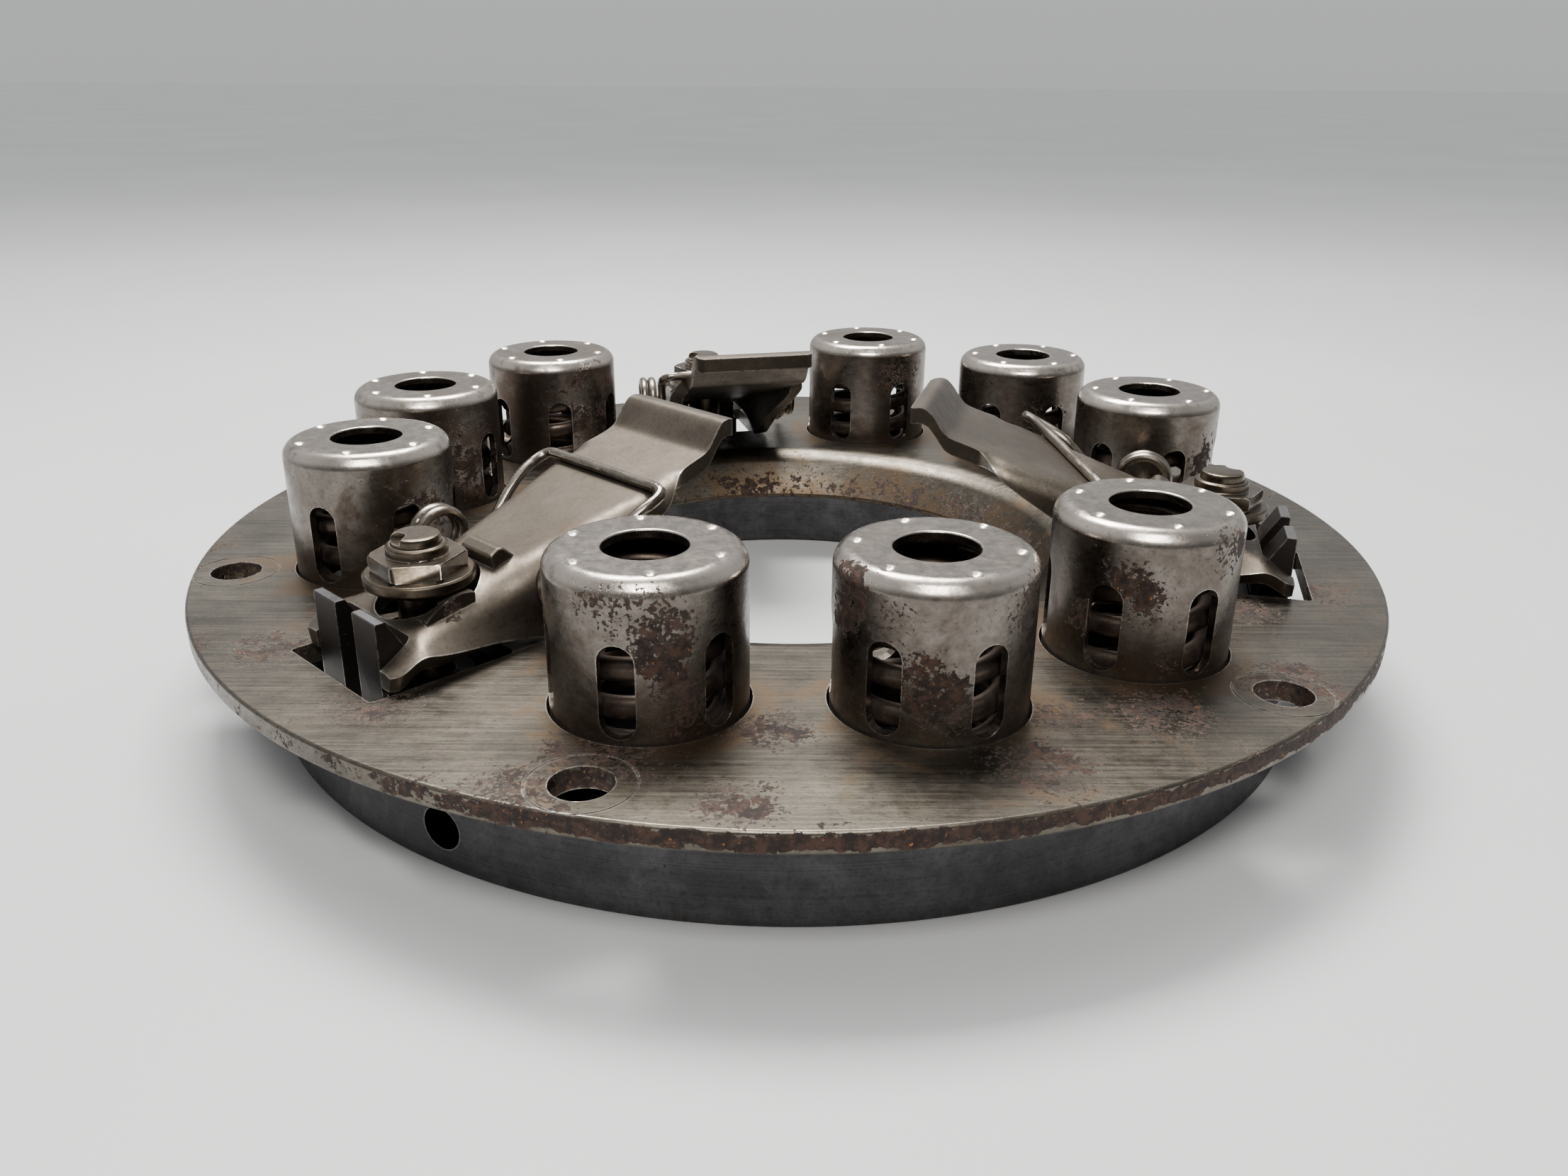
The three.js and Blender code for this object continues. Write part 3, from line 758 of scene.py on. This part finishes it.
def build_lever(i, material):
    """A pressed sheet: each row across it runs from one wall's foot over the back to the other's."""
    us = np.concatenate((np.arange(LEVER_START, 37, 0.35), np.arange(37, LEVER_END, 0.64)))
    count = 44
    outer = []
    inner = []
    for u in us:
        top = LEVER_TOP(u)
        plan = LEVER_PLAN(u)
        wall = max(LEVER_WALL(u), 0.0)
        roll = LEVER_ROLL(u)
        end = min(math.radians(LEVER_BEND(u)), math.acos(1 - min(wall, roll) / roll))
        straight = max(wall - roll * (1 - math.cos(end)), 0.0) / math.sin(max(end, 0.2))
        flat = plan - roll * math.sin(end) - straight * math.cos(end)
        if u < 27.4:
            flat -= 1.0 - math.sqrt(max(0.0, 1 - (27.4 - u) ** 2))
        total = flat + roll * end + straight
        for j in range(count + 1):
            s = abs(2 * j / count - 1)
            s = total * (1 - (1 - s) ** 1.35)
            a = min(max(s - flat, 0) / roll, end)
            rest = max(s - flat - roll * end, 0)
            v = min(s, flat) + roll * math.sin(a) + rest * math.cos(a)
            z = top - roll * (1 - math.cos(a)) - rest * math.sin(a)
            sign = -1 if j < count / 2 else 1
            outer.append((u, sign * v, z))
            inner.append((u, sign * (v - SHEET * math.sin(a)), z - SHEET * math.cos(a)))
    width = count + 1
    back = len(outer)
    faces = []
    for r in range(len(us) - 1):
        for j in range(count):
            a = r * width + j
            faces.append((a, a + 1, a + width + 1, a + width))
            faces.append((back + a, back + a + width, back + a + width + 1, back + a + 1))
        for a in (r * width, r * width + count):
            faces.append((a, a + width, back + a + width, back + a))
    for r in (0, len(us) - 1):
        for j in range(count):
            a = r * width + j
            faces.append((a, a + 1, back + a + 1, back + a))
    lever = make(f"lever_pressing_{i + 1}", outer + inner, faces)

    crescent = [q for q in circle(9.45, 64, STUD_U) if q[0] < STUD_U - 2.6]
    boolean(lever, prism("c", crescent, 2, 24))
    boolean(lever, prism("c", circle(7.4, 64, STUD_U), -2, 24))
    notch = rounded([(91.4, -10.2), (100, -10.2), (100, 10.2), (91.4, 10.2)], (1.2, 0, 0, 1.2), 5)
    boolean(lever, prism("c", notch, -6, 24))
    boolean(lever, box("c", 20, 100, -20, 20, -9, 0.3))
    soften(lever, 0.3, 2, 44)

    back = LEVER_TOP
    for side in (-1, 1):
        nose = rounded([(-1.3, 6.6), (1.3, 6.6), (1.3, 10.45), (-1.3, 10.45)], (0, 0, 1.2, 1.2), 6)
        nose = [(STUD_U + x, z) for x, z in nose]
        boolean(lever, across("r", nose, *sorted((side * 7.0, side * 8.8))), "UNION")
        strip = []
        for k in range(13):
            u = 79.6 + 8.8 * k / 12
            lift = 1.8 * math.sin(math.pi * (0.04 + 0.92 * k / 12)) ** 0.7
            strip += [
                (u, side * 6.6, back(u) - 1.2), (u, side * 6.6, back(u) + 0.02),
                (u, side * 8.6, back(u) + 0.8 * lift), (u, side * 9.7, back(u) + lift - 0.2),
                (u, side * 9.7, back(u) - 2.0),
            ]
        sides = []
        for k in range(12):
            for j in range(5):
                n = (j + 1) % 5
                sides.append((5 * k + j, 5 * k + n, 5 * k + 5 + n, 5 * k + 5 + j))
        flap = make("flap", strip, sides + [(0, 1, 2, 3, 4), (60, 61, 62, 63, 64)])
        boolean(lever, flap, "UNION")
    tongue = [
        (68.6, back(68.6) - 1.4), (73.6, back(73.6) - 1.4), (74.6, back(74.6) + 2.4),
        (72.3, back(72.3) + 3.0),
    ]
    tongue = across("r", rounded(tongue, (0, 0, 0.6, 1.3), 5), -2.2, 6.6)
    soften(tongue, 0.5, 3)
    boolean(lever, tongue, "UNION")
    shade(lever, 36)
    moved(lever, at_angle(LEVER_ANGLES[i], COVER_TOP))
    return fit(lever, f"lever_{i + 1}", "lever_steel", material, f"release_lever_{i + 1}")


# ---- studs, nuts and washers ----------------------------------------------------------------------

def build_stud(i, material):
    outline = [(0, 7.2), (3.6, 7.2), (STUD_RADIUS, 7.7), (STUD_RADIUS, COVER_TOP + 13)]
    z = COVER_TOP + 13
    while z < COVER_TOP + 18.0:
        outline += [(STUD_RADIUS, z + 0.3), (3.45, z + 0.62), (STUD_RADIUS, z + 0.95)]
        z += 1.25
    outline += [
        (STUD_RADIUS, COVER_TOP + 18.4), (3.7, COVER_TOP + 18.95), (3.1, COVER_TOP + 19.25),
        (0, COVER_TOP + 19.35),
    ]
    stud = lathe(f"stud_rod_{i + 1}", outline, 56)
    bite = circle(1.9, 32, 3.3, -1.6)
    boolean(stud, moved(prism("c", bite, COVER_TOP + 18.2, COVER_TOP + 21), Matrix.Rotation(0.3 + i, 4, "Z")))
    soften(stud, 0.12, 2)
    shade(stud)
    moved(stud, at_angle(LEVER_ANGLES[i]) @ Matrix.Translation((STUD_U, 0, 0)))
    return fit(stud, "plate", "fastener_steel", material, f"lever_stud_{i + 1}")


def build_washer(i, material):
    outline = rounded(
        [
            (4.4, 9.7), (5.6, 9.7), (6.2, 10.9), (8.2, 10.9), (8.85, 11.5), (8.85, 12.8), (8.5, 13.1),
            (4.4, 13.1),
        ],
        (0.2, 0.4, 0.4, 0.3, 0.3, 0.2, 0.2, 0.2), 4,
    )
    washer = lathe(f"washer_ring_{i + 1}", outline, 96)
    shade(washer)
    moved(washer, at_angle(LEVER_ANGLES[i], COVER_TOP) @ Matrix.Translation((STUD_U, 0, 0)))
    return fit(washer, "plate", "fastener_steel", material, f"lever_washer_{i + 1}")


def build_nut(i, material):
    corner = NUT_FLATS / math.sqrt(3)
    nut = prism(f"nut_body_{i + 1}", circle(corner, 6), 13.15, 15.93)
    barrel = [(0, 12.9), (7.0, 12.9), (7.9, 13.6), (7.9, 15.5), (7.05, 16.1), (0, 16.1)]
    boolean(nut, lathe("b", rounded(barrel, (0, 0, 0, 0, 0, 0)), 96), "INTERSECT")
    collar = rounded(
        [(0, 15), (5.1, 15), (4.9, 16.3), (4.85, 17.35), (4.4, 17.65), (0, 17.65)],
        (0, 0, 0.3, 0.3, 0.3, 0), 4,
    )
    boolean(nut, lathe("b", collar, 72), "UNION")
    boolean(nut, prism("c", circle(4.05, 56), 10, 20))
    soften(nut, 0.18, 2)
    shade(nut)
    turn = (26, 8, 15)[i]
    place_it = at_angle(LEVER_ANGLES[i], COVER_TOP) @ Matrix.Translation((STUD_U, 0, 0))
    moved(nut, place_it @ Matrix.Rotation(math.radians(turn), 4, "Z"))
    return fit(nut, "plate", "fastener_steel", material, f"lever_nut_{i + 1}")


# ---- wire springs ---------------------------------------------------------------------------------

def coil_end(side, start, out, whole=2.0, centre=70.0, tail=True):
    """The coil beside a lever and its tail, from the point where the leg runs into it."""
    points = []
    turns = whole - (start + 90) / 360
    count = int(turns * 24)
    for k in range(count + 1):
        t = k / count
        a = math.radians(start + 360 * turns * t)
        v = side * (out + WIRE_PITCH * turns * t)
        points.append((centre + WIRE_COIL * math.cos(a), v, 10.9 + WIRE_COIL * math.sin(a)))
    if tail:
        points += [(centre + 2.5, v, 6.1), (centre + 6.5, v, 4.0), (centre + 11.0, v, 1.95)]
    return points


def build_wire(i, material):
    back = LEVER_TOP
    top = back(46.5) + 1.0
    sides = {}
    for side in (-1, 1):
        leg = [
            (46.5, side * 13.5, top), (46.55, side * 15.1, top - 0.1), (47.0, side * 16.4, top - 0.5),
            (48.6, side * 16.95, top - 1.3), (52.0, side * 16.6, 19.0), (56.0, side * 15.9, 16.0),
            (60.0, side * 15.2, 11.6), (62.5, side * 15.0, 8.2), (64.2, side * 15.0, 6.9),
        ]
        if (i, side) == (0, 1):
            sides[side] = leg + coil_end(side, -90, 15.0, whole=1.0, centre=66.5, tail=False)
        else:
            sides[side] = leg + coil_end(side, -90, 15.0)
    bar = [(46.5, -7, top), (46.5, 0, top + 0.05), (46.5, 7, top)]
    if i == 1:
        shifted = [(u, v + 1.6, z) for u, v, z in sides[1][4:9]]
        sides[1] = [(45.6, 19.2, top + 0.1), (46.4, 20.3, top - 0.6)] + shifted + coil_end(1, -90, 16.6)
        bar = [
            (60.3, -6.5, back(60.3) + 1.0), (57.0, -0.3, back(57) + 1.0), (52.5, 8.2, back(52.5) + 1.0),
            (47.5, 16.6, back(47.5) + 1.1),
        ]
        sides[-1] = [
            (62.8, -11.0, back(62.8) + 0.95), (63.9, -13.6, back(63.9) + 0.5),
            (64.5, -15.8, back(64.5) - 1.2), (64.6, -16.2, 12.6),
        ] + coil_end(-1, -180, 15.6, 1.0, 69.3)
    line = list(reversed(sides[-1])) + bar + sides[1]
    wire = tube(f"wire_loop_{i + 1}", spline(line, 4), WIRE_RADIUS, 12)
    shade(wire)
    moved(wire, at_angle(LEVER_ANGLES[i], COVER_TOP))
    return fit(wire, f"lever_{i + 1}", "wire_steel", material, f"lever_wire_spring_{i + 1}")


# ---- materials ------------------------------------------------------------------------------------

CUPS = [place(CUP_CIRCLE, a) for a in CUP_ANGLES]
BOLTS = [place(BOLT_CIRCLE, a) for a in BOLT_ANGLES]


def around_cups(k):
    return k.times(k.near(CUPS, 15.5, 24.0), 0.75)


def rim_band(k):
    """The middle of the rim's own face, and a ragged strip of the top beside it."""
    face = k.step(k.radius(), 113.65, 113.95)
    front = k.plus(k.times(k.near([(5.0, -112.0)], 45.0, 120.0), 1.0), 0.45)
    wander = k.times(k.math("SUBTRACT", k.noise(0.3, 6, 0.65), 0.5), 4.5)
    h = k.plus(k.height(), wander)
    middle = k.times(k.step(h, 21.3, 21.6), k.inverse(k.step(h, 23.8, 24.1)))
    strip = k.times(k.step(k.radius(), 107.0, 113.0), 0.55)
    strip = k.times(strip, k.step(k.noise(0.035, 3, 0.5), 0.42, 0.58))
    on_face = k.times(k.times(face, middle), front)
    return k.highest(on_face, k.times(strip, k.inverse(face)))


def bolt_walls(k):
    return k.times(k.near(BOLTS, 4.4, 5.2), 0.95)


def bolt_rings(k):
    return k.times(k.near(BOLTS, 5.0, 9.5), 0.35)


def cup_feet(k):
    return k.times(k.inverse(k.step(k.height(), 26.0, 42.0)), 0.55)


def cup_backs(k):
    """The far cups are browner."""
    return k.times(k.near([(-20.0, 75.0)], 40.0, 95.0), 0.7)


# Painted highlight on the rounded shoulders of the cups, where the metal is also rubbed cleaner.
def shoulder_sheen(k):
    up = k.upward()
    flat = k.times(k.step(up, 0.86, 1.0), 0.72)
    band = k.times(k.step(up, 0.02, 0.55), k.inverse(flat))
    return k.times(band, k.step(k.height(), 42.0, 46.5))


def lug_side_shade(k):
    """Painted shade on the sides of the lugs that stand up through the cover, apart from their tops."""
    side = k.inverse(k.step(k.upward(), 0.5, 0.8))
    return k.times(k.times(k.step(k.height(), 17.0, 19.0), side), 2.5)


# Painted highlight on the level tops of the lugs.
def lug_top_sheen(k):
    return k.times(k.times(k.step(k.height(), 30.0, 32.0), k.step(k.upward(), 0.7, 0.95)), 0.5)


def lip_face(k):
    return k.times(k.inverse(k.step(k.radius(), 51.5, 57.0)), 0.72)


def patches(*points):
    """1 near points given as (x, y, z, inner radius, outer radius)."""
    def mask(k):
        found = []
        for x, y, z, inner, outer in points:
            distance = k.vector("DISTANCE", k.p, (float(x), float(y), float(z)))
            found.append(k.inverse(k.step(distance, inner, outer)))
        return k.highest(*found)
    return mask


CUP_CRUSTS = patches(
    (-14.3, -84.2, 44.5, 3.0, 6.5), (-14.6, -82.8, 40.8, 2.5, 6.0), (-7.5, -93.6, 35.4, 2.5, 5.5),
    (-5.7, -94.3, 31.0, 2.5, 5.5), (-3.0, -95.0, 33.5, 1.5, 4.5), (30.6, -80.8, 41.5, 1.5, 5.5),
    (33.5, -83.0, 38.5, 1.0, 4.5), (27.0, -77.0, 33.0, 1.0, 6.0), (-42.0, -84.5, 37.5, 2.0, 5.0),
    (-39.7, -84.7, 35.0, 1.5, 4.5), (12.5, -88.0, 28.5, 1.0, 5.5), (-77.0, -47.0, 40.0, 1.0, 8.0),
    (37.5, -84.2, 27.5, 0.5, 4.0), (50.0, -82.0, 44.8, 1.0, 4.0), (-41.2, -84.6, 41.5, 1.0, 4.8),
    (-38.6, -84.6, 38.5, 1.0, 4.2), (-37.0, -84.3, 29.5, 0.5, 4.0),
)
CUP_BROWNS = patches(
    (-68.5, -9.5, 38.0, 3.0, 13.0), (-61.2, 28.0, 36.0, 6.0, 15.0), (-32.7, 56.8, 37.0, 6.0, 15.0),
    (43.0, 55.5, 40.0, 3.0, 13.0), (68.0, 26.0, 31.0, 5.0, 13.0), (88.0, -13.0, 34.0, 3.0, 12.0),
)
CUP_FRECKLES = patches(
    (-50.0, -80.8, 44.8, 1.5, 5.0), (-46.5, -83.2, 44.6, 3.0, 6.0), (-42.5, -84.5, 43.0, 4.0, 7.5),
    (-39.5, -84.7, 41.0, 3.0, 6.5), (-38.0, -84.6, 29.0, 3.5, 7.5), (-10.6, -91.0, 42.6, 1.5, 5.0),
    (8.5, -92.5, 43.5, 2.0, 6.0), (11.0, -90.0, 45.5, 2.0, 5.0), (46.7, -83.1, 45.0, 3.0, 6.5),
    (32.0, -82.0, 37.0, 2.0, 7.0), (-64.0, -52.0, 44.0, 2.0, 9.0), (-80.0, -48.0, 43.0, 3.0, 9.0),
    (75.0, 40.0, 42.0, 3.0, 12.0), (-2.0, -95.0, 29.0, 2.0, 6.0),
)
COVER_RUST = patches(
    (-50.0, -86.0, 24.2, 3.0, 15.0), (-25.0, -84.0, 24.2, 2.0, 10.0), (8.0, -103.0, 24.2, 2.0, 13.0),
    (32.0, -94.0, 24.2, 3.0, 14.0), (16.0, -90.0, 24.2, 1.0, 9.0), (-80.0, -62.0, 24.2, 3.0, 12.0),
    (56.0, -90.0, 24.2, 4.0, 14.0), (-97.0, -38.0, 24.2, 2.0, 12.0), (66.0, -62.0, 24.2, 2.0, 13.0),
    (-62.0, -92.0, 24.2, 2.0, 12.0), (-10.0, 76.0, 24.2, 10.0, 30.0), (84.0, -58.0, 24.2, 2.0, 12.0),
    (-34.0, -102.0, 24.2, 2.0, 10.0),
)


def cup_browns(k):
    return k.times(CUP_BROWNS(k), 0.78)


def flap_rust(k):
    return k.near([(-67.5, -50.5, 33.0), (-67.5, 50.5, 33.0), (0.0, 94.0, 33.0)], 0.5, 4.0, flat=False)


def cover_rust(k):
    return k.times(COVER_RUST(k), 0.72)


cover_steel = worn_steel(
    "cover_steel_look", (0.138, 0.122, 0.098), (0.078, 0.069, 0.057), 0.35, grain=(0.045, 1.6, 1.6),
    grain_turn=-15, film=0.42, film_color=(0.092, 0.063, 0.039), crust=0.22, freckles=0.35, edge=0.95,
    edge_radius=0.4, corner_shade_amount=0.7, film_and_shade_where=(around_cups, bolt_rings, lip_face),
    crust_where=(rim_band, bolt_walls, cover_rust, lip_face), freckle_where=(cover_rust,),
)
cup_steel = worn_steel(
    "cup_steel_look", (0.196, 0.176, 0.154), (0.120, 0.101, 0.085), 0.29, grain=(0.5, 0.5, 0.8), film=0.45,
    film_color=(0.078, 0.054, 0.040), crust=0.15, freckles=0.45, edge=0.85, edge_radius=0.3,
    film_and_shade_where=(cup_feet, cup_backs), crust_where=(CUP_CRUSTS, cup_browns), freckle_where=(CUP_FRECKLES,),
    sheen_where=(shoulder_sheen,),
)
lever_steel = worn_steel(
    "lever_steel_look", (0.128, 0.109, 0.087), (0.080, 0.066, 0.052), 0.42, film=0.30,
    film_color=(0.062, 0.042, 0.027), crust=0.0, freckles=0.15, edge=0.9, edge_radius=0.5,
    crust_where=(flap_rust,),
)
fastener_steel = worn_steel(
    "fastener_steel_look", (0.138, 0.112, 0.082), (0.064, 0.051, 0.038), 0.30, film=0.5,
    film_color=(0.070, 0.043, 0.024), crust=0.05, freckles=0.2, edge=1.0, edge_radius=0.3,
)
wire_steel = worn_steel(
    "wire_steel_look", (0.25, 0.225, 0.19), (0.14, 0.12, 0.10), 0.27, film=0.2, crust=0.0, freckles=0.0,
    edge=0.1, corner_shade_amount=0.8,
)
spring_steel = worn_steel(
    "spring_steel_look", (0.125, 0.098, 0.080), (0.060, 0.044, 0.035), 0.38, film=0.6,
    film_color=(0.05, 0.03, 0.02), crust=0.2, freckles=0.5, edge=0.1,
)
plate_iron = worn_steel(
    "plate_iron_look", (0.105, 0.103, 0.106), (0.062, 0.060, 0.061), 0.36, grain=(0.02, 0.02, 4.0), film=0.15,
    film_color=(0.038, 0.032, 0.028), crust=0.0, freckles=0.15, edge=0.9, edge_radius=0.4, corner_shade_amount=0.8,
    film_and_shade_where=(lug_side_shade,), sheen_where=(lug_top_sheen,),
)


def fibre():
    k = Look("seat_fibre_look")
    threads = k.noise(1.2, 4, 0.6)
    color = k.mix(k.step(threads, 0.35, 0.7), (0.10, 0.078, 0.06), (0.24, 0.20, 0.16))
    return k.finish(color, 0.85, 0.0, k.bump(threads, 0.5, 0.15))


seat_fibre = fibre()

build_cover(cover_steel)
build_plate(plate_iron)
for n in range(9):
    build_cup(n, cup_steel)
    build_spring(n, spring_steel)
    build_seat(n, seat_fibre)
for n in range(3):
    build_lever(n, lever_steel)
    build_stud(n, fastener_steel)
    build_washer(n, fastener_steel)
    build_nut(n, fastener_steel)
    build_wire(n, wire_steel)


# ---- floor, lights and camera ---------------------------------------------------------------------

def floor():
    bm = bmesh.new()
    bmesh.ops.create_grid(bm, x_segments=4, y_segments=4, size=12.0)
    mesh = bpy.data.meshes.new("floor")
    bm.to_mesh(mesh)
    bm.free()
    ground = bpy.data.objects.new("floor", mesh)
    bpy.context.scene.collection.objects.link(ground)
    k = Look("floor_look")
    color = k.mix(k.step(k.noise(0.004, 3, 0.5), 0.3, 0.7), (0.455, 0.46, 0.463), (0.49, 0.495, 0.498))
    ground.data.materials.append(k.finish(color, 0.6, 0.0, k.bump(k.noise(0.4, 3, 0.5), 0.1, 0.1)))


def area_light(name, position, size, power):
    """A slightly warm light that looks at the middle of the part."""
    data = bpy.data.lights.new(name, "AREA")
    data.shape = "RECTANGLE"
    data.size, data.size_y = size
    data.energy = power
    data.color = (1.0, 0.98, 0.95)
    light = bpy.data.objects.new(name, data)
    bpy.context.scene.collection.objects.link(light)
    light.location = position
    light.rotation_mode = "QUATERNION"
    light.rotation_quaternion = (Vector((0, 0, 0.02)) - Vector(position)).to_track_quat("-Z", "Y")


floor()
area_light("key", (0.0, 0.28, 0.70), (0.45, 0.30), 14.5)
area_light("front", (-0.15, -0.55, 0.75), (0.35, 0.25), 7.5)

sun_data = bpy.data.lights.new("sun", "SUN")
sun_data.energy = 0.95
sun_data.angle = math.radians(40)
sun = bpy.data.objects.new("sun", sun_data)
bpy.context.scene.collection.objects.link(sun)
sun.rotation_mode = "QUATERNION"
sun.rotation_quaternion = Vector((0.05, -0.35, -1)).to_track_quat("-Z", "Y")


def studio():
    """Soft light from above and behind, darker low in front."""
    world = bpy.data.worlds.new("studio")
    world.use_nodes = True
    nodes = world.node_tree.nodes
    links = world.node_tree.links
    where = nodes.new("ShaderNodeTexCoord")
    split = nodes.new("ShaderNodeSeparateXYZ")
    links.new(where.outputs["Generated"], split.inputs[0])

    def ramp(socket, low, high, start, end):
        n = nodes.new("ShaderNodeMapRange")
        n.interpolation_type = "SMOOTHSTEP"
        links.new(socket, n.inputs["Value"])
        n.inputs["From Min"].default_value = low
        n.inputs["From Max"].default_value = high
        n.inputs["To Min"].default_value = start
        n.inputs["To Max"].default_value = end
        return n.outputs[0]

    total = nodes.new("ShaderNodeMath")
    total.operation = "MULTIPLY"
    links.new(ramp(split.outputs["Y"], -0.9, 0.5, 0.14, 0.57), total.inputs[0])
    links.new(ramp(split.outputs["Z"], -0.1, 0.8, 0.9, 1.6), total.inputs[1])
    background = nodes["Background"]
    background.inputs["Color"].default_value = (0.975, 0.985, 1.0, 1)
    links.new(total.outputs[0], background.inputs["Strength"])
    bpy.context.scene.world = world


studio()

camera_data = bpy.data.cameras.new("camera")
camera_data.lens = 29.0
camera_data.sensor_width = 36.0
camera = bpy.data.objects.new("camera", camera_data)
bpy.context.scene.collection.objects.link(camera)
yaw = math.radians(15.31)
pitch = math.radians(-22.13)
roll = 0.009
forward = Vector((math.sin(yaw) * math.cos(pitch), math.cos(yaw) * math.cos(pitch), math.sin(pitch)))
camera.location = (-0.0657, -0.2379, 0.1107)
camera.rotation_mode = "QUATERNION"
camera.rotation_quaternion = forward.to_track_quat("-Z", "Y") @ Matrix.Rotation(roll, 3, "Z").to_quaternion()
bpy.context.scene.camera = camera
